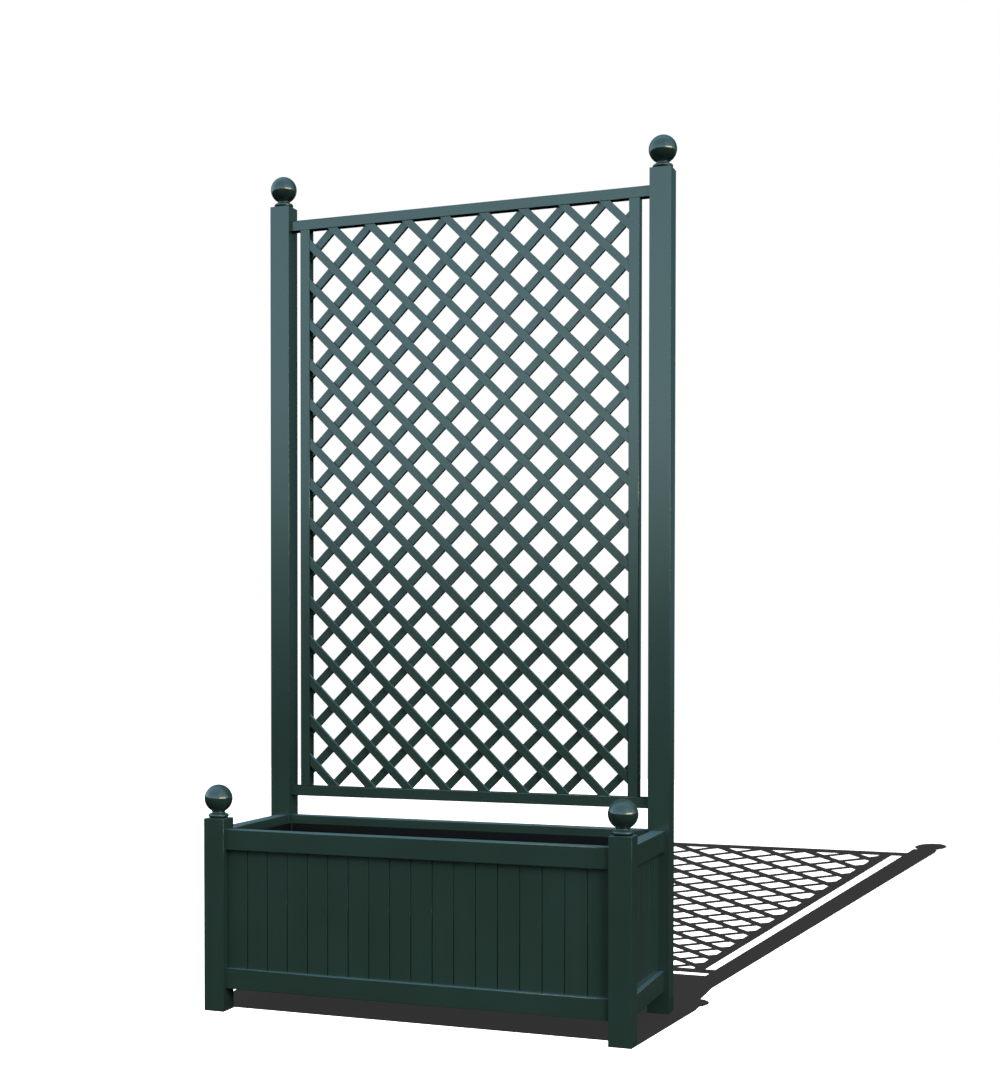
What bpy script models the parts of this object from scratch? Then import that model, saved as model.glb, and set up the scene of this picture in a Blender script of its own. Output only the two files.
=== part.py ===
"""Trellis planter: a boarded box on four posts, with a lattice screen between the two tall rear posts.

Painted wood throughout, and a black plastic liner that lifts straight up out of the box.
X runs to the right of someone who faces the front, Y runs to the rear and Z up. The ground is Z = 0,
and the origin is under the middle of the box. Every size is in metres.
"""

import math

import bmesh
import bpy
from mathutils import Matrix

# Overall sizes, measured over the faces of the posts
OVERALL_WIDTH = 1.000
OVERALL_DEPTH = 0.400
REAR_POST_HEIGHT = 1.916
FRONT_POST_HEIGHT = 0.441

# Posts
POST_SIDE = 0.050
POST_ROUND = 0.003

# Rails of the box
RAIL_HEIGHT = 0.046
RAIL_DEPTH_TO_POST = 0.64
RAIL_SET_BACK = 0.010
RAIL_ROUND = 0.002
TOP_RAIL_DROP = 0.025
FOOT_HEIGHT = 0.052
RAIL_TENON_THICKNESS = 0.014
RAIL_TENON_SET_BACK = 0.004
TENON_WEB = 0.006

# Boards, tongued and grooved, that stand in a groove of the rails
FRONT_BOARDS = 18
END_BOARDS = 6
BOARD_THICKNESS = 0.012
BOARD_SET_BACK = 0.012
BOARD_GROOVE_DEPTH = 0.008
BOARD_END_GAP = 0.001
BOARD_JOINT = 0.0016
BOARD_CHAMFER = 0.0008
TONGUE_THICKNESS = 0.004
TONGUE_LENGTH = 0.005

# Floor of the box
LEDGER_HEIGHT = 0.020
LEDGER_DEPTH = 0.025
FLOOR_SLATS = 5
SLAT_WIDTH = 0.100
SLAT_THICKNESS = 0.015

# Trellis frame, centred in the thickness of the rear posts
FRAME_SIDE = 0.025
FRAME_ROUND = 0.002
TRELLIS_DROP = 0.036
TRELLIS_GAP = 0.049
STILE_GAP = 0.025
FRAME_TENON_SHOULDER = 0.0025
POST_TENON_LENGTH = 0.015
STILE_TENON_LENGTH = 0.010

# Lattice of laths in two layers, the front one falling to the right
LATH_WIDTH = 0.0185
LATH_THICKNESS = 0.008
LATH_PITCH = 0.0973
LATTICE_SET_BACK = 0.002
LATTICE_LIFT = 0.0025
LATTICE_GROOVE_DEPTH = 0.005
LATTICE_END_GAP = 0.0005

# Finials, turned, with a spigot that enters the post
BALL_RADIUS = 0.0311
NECK_LENGTH = 0.0091
NECK_RADIUS = 0.0165
NECK_HOLLOW = 0.0020
COLLAR_RADIUS = 0.0188
COLLAR_BEAD = 0.0045
COLLAR_HEIGHT = 0.006
FINIAL_FOOT_RADIUS = 0.0200
SPIGOT_RADIUS = 0.005
SPIGOT_LENGTH = 0.020

# Liner
LINER_SIDE_CLEARANCE = 0.003
LINER_DROP = 0.018
LINER_WALL = 0.003
LINER_CORNER = 0.012
LINER_RIM_WIDTH = 0.0025
LINER_RIM_HEIGHT = 0.008
LINER_TAPER = 0.003

# Gap left between pieces that touch
FIT = 0.0003

# How far a cutter passes the face that it opens
CUT_OVER = 0.001

# Facets on round work, and the angle above which an edge stays sharp
ROUND_SEGMENTS = 3
TURNED_STEPS = 28
BALL_STEPS = 11
NECK_STEPS = 5
NECK_FLARE_POWER = 3
BEAD_STEPS = 5
BORE_SIDES = 16
CORNER_STEPS = 4
SHARP_ANGLE = math.radians(35)

# Closest that two points may be and still count as two
WELD_DISTANCE = 1e-6

# Sizes that follow from those above
CLEAR_WIDTH = OVERALL_WIDTH - 2 * POST_SIDE
CLEAR_DEPTH = OVERALL_DEPTH - 2 * POST_SIDE
RAIL_DEPTH = RAIL_DEPTH_TO_POST * POST_SIDE
RAIL_INNER_X = OVERALL_WIDTH / 2 - RAIL_SET_BACK - RAIL_DEPTH
RAIL_INNER_Y = OVERALL_DEPTH / 2 - RAIL_SET_BACK - RAIL_DEPTH
FLOOR_HALF = min(CLEAR_WIDTH / 2, RAIL_INNER_X)
POST_X = (OVERALL_WIDTH - POST_SIDE) / 2
POST_Y = (OVERALL_DEPTH - POST_SIDE) / 2
TOP_RAIL_TOP = FRONT_POST_HEIGHT - TOP_RAIL_DROP
TOP_RAIL_BOTTOM = TOP_RAIL_TOP - RAIL_HEIGHT
BOTTOM_RAIL_TOP = FOOT_HEIGHT + RAIL_HEIGHT
RAIL_TENON_HEIGHT = RAIL_HEIGHT - 2 * BOARD_GROOVE_DEPTH
RAIL_TENON_BACK = RAIL_TENON_SET_BACK + RAIL_TENON_THICKNESS
RAIL_TENON_LENGTH = POST_SIDE - RAIL_SET_BACK - RAIL_TENON_BACK - TENON_WEB
SLAT_TOP = FOOT_HEIGHT + LEDGER_HEIGHT + FIT + SLAT_THICKNESS
TRELLIS_TOP = REAR_POST_HEIGHT - TRELLIS_DROP
TRELLIS_BOTTOM = TOP_RAIL_TOP + TRELLIS_GAP
OPENING_TOP = TRELLIS_TOP - FRAME_SIDE
OPENING_BOTTOM = TRELLIS_BOTTOM + FRAME_SIDE
OPENING_HALF = CLEAR_WIDTH / 2 - STILE_GAP - FRAME_SIDE
FRAME_FRONT = POST_Y - FRAME_SIDE / 2
LATTICE_FRONT = FRAME_FRONT + LATTICE_SET_BACK
FRAME_TENON_SIDE = FRAME_SIDE - 2 * (LATTICE_GROOVE_DEPTH + FRAME_TENON_SHOULDER)
BALL_BOTTOM = COLLAR_HEIGHT + COLLAR_BEAD + NECK_LENGTH
BALL_MIDDLE = BALL_BOTTOM + math.sqrt(BALL_RADIUS**2 - NECK_RADIUS**2)

# Finishes
PAINT_GREEN = (0.017, 0.037, 0.031)
PAINT_ROUGHNESS = 0.20
TURNED_ROUGHNESS = 0.16
PLASTIC_BLACK = (0.006, 0.006, 0.006)
PLASTIC_ROUGHNESS = 0.60


def clear_scene():
    """Removes whatever the file held before."""
    for obj in list(bpy.data.objects):
        bpy.data.objects.remove(obj)


def make_material(name, colour, roughness):
    """A plain Principled material."""
    material = bpy.data.materials.new(name)
    material.use_nodes = True
    shader = material.node_tree.nodes["Principled BSDF"]
    shader.inputs["Base Color"].default_value = (*colour, 1.0)
    shader.inputs["Roughness"].default_value = roughness
    shader.inputs["Metallic"].default_value = 0.0
    material.diffuse_color = (*colour, 1.0)
    return material


def add_object(name, mesh, material=None, location=(0, 0, 0), turn=0.0):
    """Puts a mesh into the scene at a place, turned about Z by an angle in radians."""
    obj = bpy.data.objects.new(name, mesh)
    bpy.context.scene.collection.objects.link(obj)
    obj.location = location
    obj.rotation_euler = (0, 0, turn)
    if material and not mesh.materials:
        mesh.materials.append(material)
    return obj


def mesh_from(bm, name):
    """Turns a bmesh into a mesh with its faces pointing out."""
    bmesh.ops.recalc_face_normals(bm, faces=bm.faces)
    mesh = bpy.data.meshes.new(name)
    bm.to_mesh(mesh)
    bm.free()
    return mesh


def add_box(bm, low, high):
    """Adds a box between two corners to a bmesh and returns its vertices."""
    size = [b - a for a, b in zip(low, high)]
    middle = [(a + b) / 2 for a, b in zip(low, high)]
    place = Matrix.Translation(middle) @ Matrix.Diagonal((*size, 1.0))
    return bmesh.ops.create_cube(bm, size=1.0, matrix=place)["verts"]


def boxes_mesh(name, corners):
    """One mesh of several boxes, each given by its low and high corner."""
    bm = bmesh.new()
    for low, high in corners:
        add_box(bm, low, high)
    return mesh_from(bm, name)


def rounded_bar(name, low, high, radius, along=None):
    """A box with rounded edges: all of them, or only those that run along one axis."""
    bm = bmesh.new()
    add_box(bm, low, high)
    edges = list(bm.edges)
    if along is not None:
        edges = [e for e in edges if abs((e.verts[1].co - e.verts[0].co)[along]) > WELD_DISTANCE]
    bmesh.ops.bevel(
        bm, geom=edges, offset=radius, segments=ROUND_SEGMENTS, profile=0.5, affect="EDGES"
    )
    return mesh_from(bm, name)


def extrude_outline(name, points, low, high):
    """A prism: an outline in X and Y, carried up from one height to another."""
    bm = bmesh.new()
    face = bm.faces.new([bm.verts.new((x, y, low)) for x, y in points])
    grown = bmesh.ops.extrude_face_region(bm, geom=[face])["geom"]
    top = [v for v in grown if isinstance(v, bmesh.types.BMVert)]
    bmesh.ops.translate(bm, verts=top, vec=(0, 0, high - low))
    return mesh_from(bm, name)


def combine(obj, operation, tool_mesh, location=(0, 0, 0), turn=0.0):
    """Unites an object with a tool, or cuts it by one, and keeps only the result."""
    tool = add_object(obj.name + "_tool", tool_mesh, location=location, turn=turn)
    tool.hide_render = True
    tool.display_type = "WIRE"
    modifier = obj.modifiers.new(operation.title(), "BOOLEAN")
    modifier.operation = operation
    modifier.solver = "EXACT"
    modifier.object = tool
    bpy.context.view_layer.update()
    graph = bpy.context.evaluated_depsgraph_get()
    result = bpy.data.meshes.new_from_object(obj.evaluated_get(graph), depsgraph=graph)
    result.name = obj.name
    obj.modifiers.clear()
    obj.data = result
    bpy.data.objects.remove(tool)


def smooth(obj):
    """Shades the round stretches smooth and keeps the sharp edges."""
    obj.data.shade_smooth()
    obj.data.set_sharp_from_angle(angle=SHARP_ANGLE)


def rail_places():
    """Each rail of one level: side, its place, its turn about Z and its length between the posts.

    In a rail's own frame X runs along it and its outer face looks to -Y.
    """
    rail_y = OVERALL_DEPTH / 2 - RAIL_SET_BACK
    rail_x = OVERALL_WIDTH / 2 - RAIL_SET_BACK
    return (
        ("front", (0, -rail_y), 0.0, CLEAR_WIDTH),
        ("rear", (0, rail_y), math.pi, CLEAR_WIDTH),
        ("left", (-rail_x, 0), -math.pi / 2, CLEAR_DEPTH),
        ("right", (rail_x, 0), math.pi / 2, CLEAR_DEPTH),
    )


def rail_tenon_box(length, bottom, clearance=0.0):
    """Corners of the bar that forms both tenons of a rail, in the rail's own frame."""
    reach = length / 2 - FIT + RAIL_TENON_LENGTH + clearance
    middle = bottom + RAIL_HEIGHT / 2
    half = RAIL_TENON_HEIGHT / 2 + clearance
    front = RAIL_TENON_SET_BACK - clearance
    back = RAIL_TENON_BACK + clearance
    return (-reach, front, middle - half), (reach, back, middle + half)


def frame_tenon_box(reach, height, clearance=0.0):
    """Corners of the bar that forms both tenons of a trellis rail."""
    half = FRAME_TENON_SIDE / 2 + clearance
    reach += clearance
    return (-reach, POST_Y - half, height - half), (reach, POST_Y + half, height + half)


def stile_tenon_box(x, clearance=0.0):
    """Corners of the bar that forms both tenons of a trellis stile."""
    half = FRAME_TENON_SIDE / 2 + clearance
    reach = STILE_TENON_LENGTH - FIT + clearance
    low = (x - half, POST_Y - half, OPENING_BOTTOM - reach)
    high = (x + half, POST_Y + half, OPENING_TOP + reach)
    return low, high


def bore_mesh(radius, bottom, top):
    """A round bar that stands on Z, used to bore a hole."""
    bm = bmesh.new()
    bmesh.ops.create_cone(
        bm,
        cap_ends=True,
        segments=BORE_SIDES,
        radius1=radius,
        radius2=radius,
        depth=top - bottom,
        matrix=Matrix.Translation((0, 0, (bottom + top) / 2)),
    )
    return mesh_from(bm, "bore")


def post_places():
    """Each post: where it stands from front to rear and from side to side, its place and its height."""
    return (
        ("front", "left", (-POST_X, -POST_Y, 0), FRONT_POST_HEIGHT),
        ("front", "right", (POST_X, -POST_Y, 0), FRONT_POST_HEIGHT),
        ("rear", "left", (-POST_X, POST_Y, 0), REAR_POST_HEIGHT),
        ("rear", "right", (POST_X, POST_Y, 0), REAR_POST_HEIGHT),
    )


def build_posts(material):
    """Four square posts with rounded edges, mortised for the rails and bored for the finials."""
    half = POST_SIDE / 2
    for row, side, place, height in post_places():
        mesh = rounded_bar("post", (-half, -half, 0), (half, half, height), POST_ROUND)
        post = add_object(f"post_{row}_{side}", mesh, material, place)
        for rail_side, (x, y), turn, length in rail_places():
            if rail_side not in (row, side):
                continue
            for bottom in (TOP_RAIL_BOTTOM, FOOT_HEIGHT):
                mortise = boxes_mesh("mortise", [rail_tenon_box(length, bottom, FIT)])
                combine(post, "DIFFERENCE", mortise, (x, y, 0), turn)
        if row == "rear":
            reach = CLEAR_WIDTH / 2 - FIT + POST_TENON_LENGTH
            heights = (TRELLIS_TOP - FRAME_SIDE / 2, TRELLIS_BOTTOM + FRAME_SIDE / 2)
            corners = [frame_tenon_box(reach, z, FIT) for z in heights]
            combine(post, "DIFFERENCE", boxes_mesh("mortise", corners))
        bore = bore_mesh(SPIGOT_RADIUS + FIT, height - SPIGOT_LENGTH - FIT, height + CUT_OVER)
        combine(post, "DIFFERENCE", bore, place)
        smooth(post)


def board_groove_box(length, low, high):
    """Corners of the space that the boards of one side fill, with clearance, in the rails' frame."""
    front = BOARD_SET_BACK - FIT
    back = BOARD_SET_BACK + BOARD_THICKNESS + FIT
    return (-length / 2 - FIT, front, low), (length / 2 + FIT, back, high)


def build_box_rails(material):
    """Top and bottom rails of the four sides, tenoned into the posts and grooved for the boards."""
    for side, (x, y), turn, length in rail_places():
        half = length / 2 - FIT
        groove = board_groove_box(
            length, BOTTOM_RAIL_TOP - BOARD_GROOVE_DEPTH, TOP_RAIL_BOTTOM + BOARD_GROOVE_DEPTH
        )
        for level, bottom in (("top", TOP_RAIL_BOTTOM), ("bottom", FOOT_HEIGHT)):
            mesh = rounded_bar(
                "rail", (-half, 0, bottom), (half, RAIL_DEPTH, bottom + RAIL_HEIGHT), RAIL_ROUND, along=0
            )
            rail = add_object(f"{level}_rail_{side}", mesh, material, (x, y, 0), turn)
            tenons = boxes_mesh("tenons", [rail_tenon_box(length, bottom)])
            combine(rail, "UNION", tenons, (x, y, 0), turn)
            combine(rail, "DIFFERENCE", boxes_mesh("groove", [groove]), (x, y, 0), turn)
            smooth(rail)


def board_outline(a, b, tongue):
    """Section of one board from edge a to edge b: chamfered face, groove on the left, tongue right."""
    front = BOARD_SET_BACK
    back = front + BOARD_THICKNESS
    middle = (front + back) / 2
    half_slot = TONGUE_THICKNESS / 2 + FIT
    slot_end = a + TONGUE_LENGTH + FIT
    half = TONGUE_THICKNESS / 2
    points = [(a, front + BOARD_CHAMFER), (a + BOARD_CHAMFER, front)]
    points += [(b - BOARD_CHAMFER, front), (b, front + BOARD_CHAMFER)]
    if tongue:
        points += [(b, middle - half), (b + TONGUE_LENGTH, middle - half)]
        points += [(b + TONGUE_LENGTH, middle + half), (b, middle + half)]
    points += [(b, back), (a, back)]
    points += [(a, middle + half_slot), (slot_end, middle + half_slot)]
    points += [(slot_end, middle - half_slot), (a, middle - half_slot)]
    return points


def panel_outline(length, count):
    """Section of a side whose boards are glued up into one panel, with the same open joints."""
    front = BOARD_SET_BACK
    half = length / 2 - FIT
    pitch = length / count
    deep = front + (BOARD_THICKNESS - TONGUE_THICKNESS) / 2
    points = [(-half, front)]
    for i in range(1, count):
        joint = -length / 2 + i * pitch
        a = joint - BOARD_JOINT / 2
        b = joint + BOARD_JOINT / 2
        points += [(a - BOARD_CHAMFER, front), (a, front + BOARD_CHAMFER), (a, deep)]
        points += [(b, deep), (b, front + BOARD_CHAMFER), (b + BOARD_CHAMFER, front)]
    points += [(half, front), (half, front + BOARD_THICKNESS), (-half, front + BOARD_THICKNESS)]
    return points


def build_boards(material):
    """Boards of the front and the two ends one by one, and the rear side as one glued panel."""
    seat = BOARD_GROOVE_DEPTH - BOARD_END_GAP
    low = BOTTOM_RAIL_TOP - seat
    high = TOP_RAIL_BOTTOM + seat
    for side, (x, y), turn, length in rail_places():
        if side == "rear":
            mesh = extrude_outline("panel", panel_outline(length, FRONT_BOARDS), low, high)
            add_object("rear_panel", mesh, material, (x, y, 0), turn)
            continue
        count = FRONT_BOARDS if side == "front" else END_BOARDS
        pitch = length / count
        for i in range(count):
            left = -length / 2 + i * pitch
            a = left + (FIT if i == 0 else BOARD_JOINT / 2)
            b = left + pitch - (FIT if i == count - 1 else BOARD_JOINT / 2)
            outline = board_outline(a, b, i < count - 1)
            mesh = extrude_outline("board", outline, low, high)
            add_object(f"board_{side}_{i + 1:02d}", mesh, material, (x, y, 0), turn)


def build_floor(material):
    """Two ledgers along the bottom rails, and slats across them that carry the liner."""
    reach = FLOOR_HALF - FIT
    inner = RAIL_INNER_Y
    for name, sign in (("front", -1), ("rear", 1)):
        y = sorted((sign * (inner - FIT), sign * (inner - FIT - LEDGER_DEPTH)))
        mesh = boxes_mesh("ledger", [((-reach, y[0], 0), (reach, y[1], LEDGER_HEIGHT))])
        add_object(f"ledger_{name}", mesh, material, (0, 0, FOOT_HEIGHT))
    half = SLAT_WIDTH / 2
    deep = inner - FIT
    mesh = boxes_mesh("slat", [((-half, -deep, 0), (half, deep, SLAT_THICKNESS))])
    span = 2 * reach - SLAT_WIDTH
    for i in range(FLOOR_SLATS):
        x = span * (i / (FLOOR_SLATS - 1) - 0.5)
        add_object(f"floor_slat_{i + 1}", mesh, material, (x, 0, SLAT_TOP - SLAT_THICKNESS))


def lattice_pocket():
    """Corners of the space that the lattice fills inside its frame, with the groove and clearance."""
    reach = OPENING_HALF + LATTICE_GROOVE_DEPTH
    low = (-reach, LATTICE_FRONT - FIT, OPENING_BOTTOM - LATTICE_GROOVE_DEPTH)
    high = (reach, LATTICE_FRONT + 2 * LATH_THICKNESS + FIT, OPENING_TOP + LATTICE_GROOVE_DEPTH)
    return low, high


def build_trellis_frame(material):
    """Two rails between the rear posts and two stiles between the rails, grooved for the lattice."""
    front, back = FRAME_FRONT, FRAME_FRONT + FRAME_SIDE
    reach = CLEAR_WIDTH / 2 - FIT
    stile_x = OPENING_HALF + FRAME_SIDE / 2
    mortises = [stile_tenon_box(sign * stile_x, FIT) for sign in (-1, 1)]
    for level, bottom in (("top", OPENING_TOP), ("bottom", TRELLIS_BOTTOM)):
        mesh = rounded_bar(
            "rail", (-reach, front, bottom), (reach, back, bottom + FRAME_SIDE), FRAME_ROUND, along=0
        )
        rail = add_object(f"trellis_rail_{level}", mesh, material)
        tenons = frame_tenon_box(reach + POST_TENON_LENGTH, bottom + FRAME_SIDE / 2)
        combine(rail, "UNION", boxes_mesh("tenons", [tenons]))
        combine(rail, "DIFFERENCE", boxes_mesh("groove", [lattice_pocket()]))
        combine(rail, "DIFFERENCE", boxes_mesh("mortises", mortises))
        smooth(rail)
    for side, sign in (("left", -1), ("right", 1)):
        x = sign * stile_x
        half = FRAME_SIDE / 2
        low = (x - half, front, OPENING_BOTTOM + FIT)
        high = (x + half, back, OPENING_TOP - FIT)
        mesh = rounded_bar("stile", low, high, FRAME_ROUND, along=2)
        stile = add_object(f"trellis_stile_{side}", mesh, material)
        combine(stile, "UNION", boxes_mesh("tenons", [stile_tenon_box(x)]))
        combine(stile, "DIFFERENCE", boxes_mesh("groove", [lattice_pocket()]))
        smooth(stile)


def lath_layer(name, front, direction):
    """Parallel laths at 45 degrees over the whole opening; direction 1 rises to the right."""
    middle = (OPENING_TOP + OPENING_BOTTOM) / 2 + LATTICE_LIFT
    height = OPENING_TOP - OPENING_BOTTOM
    across = LATH_PITCH / math.sqrt(2)
    reach = OPENING_HALF + height / 2
    count = math.ceil(reach / LATH_PITCH) + 1
    bm = bmesh.new()
    half = LATH_WIDTH / 2
    for i in range(-count, count):
        offset = (i + 0.5) * across
        add_box(bm, (-reach, 0, offset - half), (reach, LATH_THICKNESS, offset + half))
    turn = Matrix.Rotation(-direction * math.pi / 4, 4, "Y")
    bmesh.ops.transform(bm, matrix=Matrix.Translation((0, front, middle)) @ turn, verts=bm.verts)
    return mesh_from(bm, name)


def build_lattice(material):
    """Two crossing layers of laths, trimmed to the frame's groove and fixed at every crossing."""
    low, high = lattice_pocket()
    inner_low = (low[0] + LATTICE_END_GAP, low[1], low[2] + LATTICE_END_GAP)
    inner_high = (high[0] - LATTICE_END_GAP, high[1], high[2] - LATTICE_END_GAP)
    trim = boxes_mesh("trim", [(inner_low, inner_high)])
    lattice = add_object("lattice", lath_layer("front_laths", LATTICE_FRONT, -1), material)
    combine(lattice, "UNION", lath_layer("rear_laths", LATTICE_FRONT + LATH_THICKNESS, 1))
    combine(lattice, "INTERSECT", trim)


def finial_profile():
    """Turned outline from the top of the ball down to the foot of the spigot, as radius and height."""
    points = []
    lowest = -math.acos(NECK_RADIUS / BALL_RADIUS)
    for i in range(BALL_STEPS + 1):
        angle = math.pi / 2 + (lowest - math.pi / 2) * i / BALL_STEPS
        points.append((BALL_RADIUS * math.cos(angle), BALL_MIDDLE + BALL_RADIUS * math.sin(angle)))
    for i in range(1, NECK_STEPS + 1):
        part = i / NECK_STEPS
        flare = (COLLAR_RADIUS - NECK_RADIUS) * part**NECK_FLARE_POWER
        radius = NECK_RADIUS + flare - NECK_HOLLOW * math.sin(math.pi * part)
        points.append((radius, BALL_BOTTOM - NECK_LENGTH * part))
    for i in range(1, BEAD_STEPS + 1):
        angle = math.pi / 2 - math.pi * i / BEAD_STEPS
        radius = COLLAR_RADIUS + COLLAR_BEAD * math.cos(angle)
        points.append((radius, COLLAR_HEIGHT + COLLAR_BEAD * math.sin(angle)))
    points += [(FINIAL_FOOT_RADIUS, COLLAR_HEIGHT - COLLAR_BEAD), (FINIAL_FOOT_RADIUS, FIT)]
    points += [(SPIGOT_RADIUS, FIT), (SPIGOT_RADIUS, -SPIGOT_LENGTH), (0.0, -SPIGOT_LENGTH)]
    return points


def finial_mesh():
    """The finial turned about Z from its outline."""
    bm = bmesh.new()
    verts = [bm.verts.new((r, 0, z)) for r, z in finial_profile()]
    edges = [bm.edges.new(pair) for pair in zip(verts, verts[1:])]
    bmesh.ops.spin(
        bm,
        geom=verts + edges,
        cent=(0, 0, 0),
        axis=(0, 0, 1),
        angle=2 * math.pi,
        steps=TURNED_STEPS,
        use_merge=True,
    )
    bmesh.ops.remove_doubles(bm, verts=bm.verts, dist=WELD_DISTANCE)
    return mesh_from(bm, "finial")


def build_finials(material):
    """Four ball finials that share one turned shape."""
    mesh = finial_mesh()
    for row, side, (x, y, _), height in post_places():
        smooth(add_object(f"finial_{row}_{side}", mesh, material, (x, y, height)))


def rounded_rectangle(half_x, half_y, radius):
    """Corner points of a rectangle with round corners, counter-clockwise."""
    points = []
    for quarter, (sx, sy) in enumerate(((1, 1), (-1, 1), (-1, -1), (1, -1))):
        for i in range(CORNER_STEPS + 1):
            angle = math.pi / 2 * (quarter + i / CORNER_STEPS)
            x = sx * (half_x - radius) + radius * math.cos(angle)
            y = sy * (half_y - radius) + radius * math.sin(angle)
            points.append((x, y))
    return points


def build_liner(material):
    """A tapered trough with a thickened rim, which stands on the slats and lifts straight up."""
    half_x = CLEAR_WIDTH / 2 - LINER_SIDE_CLEARANCE
    half_y = CLEAR_DEPTH / 2 - LINER_SIDE_CLEARANCE
    bottom = SLAT_TOP + FIT
    height = TOP_RAIL_TOP - LINER_DROP - bottom
    rim = height - LINER_RIM_HEIGHT
    levels = (
        (0.0, LINER_RIM_WIDTH + LINER_TAPER),
        (rim, LINER_RIM_WIDTH),
        (rim, 0.0),
        (height, 0.0),
        (height, LINER_RIM_WIDTH + LINER_WALL),
        (LINER_WALL, LINER_RIM_WIDTH + LINER_TAPER + LINER_WALL),
    )
    bm = bmesh.new()
    rings = []
    for z, inset in levels:
        outline = rounded_rectangle(half_x - inset, half_y - inset, max(LINER_CORNER - inset, LINER_WALL))
        rings.append([bm.verts.new((x, y, z)) for x, y in outline])
    for lower, upper in zip(rings, rings[1:]):
        for i in range(len(lower)):
            j = (i + 1) % len(lower)
            bm.faces.new((lower[i], lower[j], upper[j], upper[i]))
    bm.faces.new(rings[0][::-1])
    bm.faces.new(rings[-1])
    smooth(add_object("liner", mesh_from(bm, "liner"), material, (0, 0, bottom)))


def main():
    clear_scene()
    build_posts(make_material("post_paint", PAINT_GREEN, PAINT_ROUGHNESS))
    build_box_rails(make_material("rail_paint", PAINT_GREEN, PAINT_ROUGHNESS))
    build_boards(make_material("board_paint", PAINT_GREEN, PAINT_ROUGHNESS))
    build_floor(make_material("floor_paint", PAINT_GREEN, PAINT_ROUGHNESS))
    build_trellis_frame(make_material("trellis_paint", PAINT_GREEN, PAINT_ROUGHNESS))
    build_lattice(make_material("lath_paint", PAINT_GREEN, PAINT_ROUGHNESS))
    build_finials(make_material("finial_paint", PAINT_GREEN, TURNED_ROUGHNESS))
    build_liner(make_material("liner_plastic", PLASTIC_BLACK, PLASTIC_ROUGHNESS))


main()
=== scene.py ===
"""Trellis planter, dressed: smooth dark green paint, a black liner and a plain studio round it.

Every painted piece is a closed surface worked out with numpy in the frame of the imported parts: X
to the right, Y to the rear and Z up, in metres. Where a piece stands comes from the part that it
replaces, and what is finer than that part, such as the round of an edge, is a field of its class.
"""

from __future__ import annotations

import logging
import math
from abc import ABC, abstractmethod
from dataclasses import dataclass
from enum import Enum
from typing import Mapping, Sequence, Union

import bpy
import numpy as np
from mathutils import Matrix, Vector


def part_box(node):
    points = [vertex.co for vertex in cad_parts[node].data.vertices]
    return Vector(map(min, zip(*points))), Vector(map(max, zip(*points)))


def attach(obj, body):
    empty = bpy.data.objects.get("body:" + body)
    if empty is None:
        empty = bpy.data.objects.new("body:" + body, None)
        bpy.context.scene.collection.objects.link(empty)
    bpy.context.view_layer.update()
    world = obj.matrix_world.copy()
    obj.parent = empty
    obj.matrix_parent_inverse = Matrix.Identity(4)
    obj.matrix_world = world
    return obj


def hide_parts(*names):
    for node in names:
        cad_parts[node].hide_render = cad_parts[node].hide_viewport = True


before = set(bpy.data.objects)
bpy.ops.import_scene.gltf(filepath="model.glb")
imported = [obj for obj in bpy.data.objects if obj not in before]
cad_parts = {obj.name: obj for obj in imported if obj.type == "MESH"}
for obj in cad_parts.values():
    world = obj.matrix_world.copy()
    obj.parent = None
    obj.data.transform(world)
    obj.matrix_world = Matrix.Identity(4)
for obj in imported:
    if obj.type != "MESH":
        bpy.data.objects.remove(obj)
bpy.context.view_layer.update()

LOG = logging.getLogger("trellis_planter")

Colour = tuple[float, float, float]
Place = tuple[float, float, float]
Span = tuple[float, float]

GRAIN_ATTRIBUTE = "grain"
# Each shell takes its grain from another part of the pattern, up to this many metres away.
GRAIN_SPREAD = 40.0
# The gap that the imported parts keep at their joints, and a length that counts as nothing.
GAP = 0.0003
TINY = 1e-5
# How much of its shorter side a rounded corner may take.
CORNER_SHARE = 0.45


class Body(Enum):
    """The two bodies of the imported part."""

    PLANTER = "planter"
    LINER = "liner"


class Slot(Enum):
    """The record's material slots."""

    POST = "post_paint"
    RAIL = "rail_paint"
    BOARD = "board_paint"
    FLOOR = "floor_paint"
    TRELLIS = "trellis_paint"
    LATH = "lath_paint"
    FINIAL = "finial_paint"
    LINER = "liner_plastic"


class Axis(Enum):
    """The way that a straight piece runs."""

    X = 0
    Y = 1
    Z = 2


class Slope(Enum):
    """The way that a layer of laths runs, seen from the front."""

    FALLS_RIGHT = -1
    RISES_RIGHT = 1


# Shader maths


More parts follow.
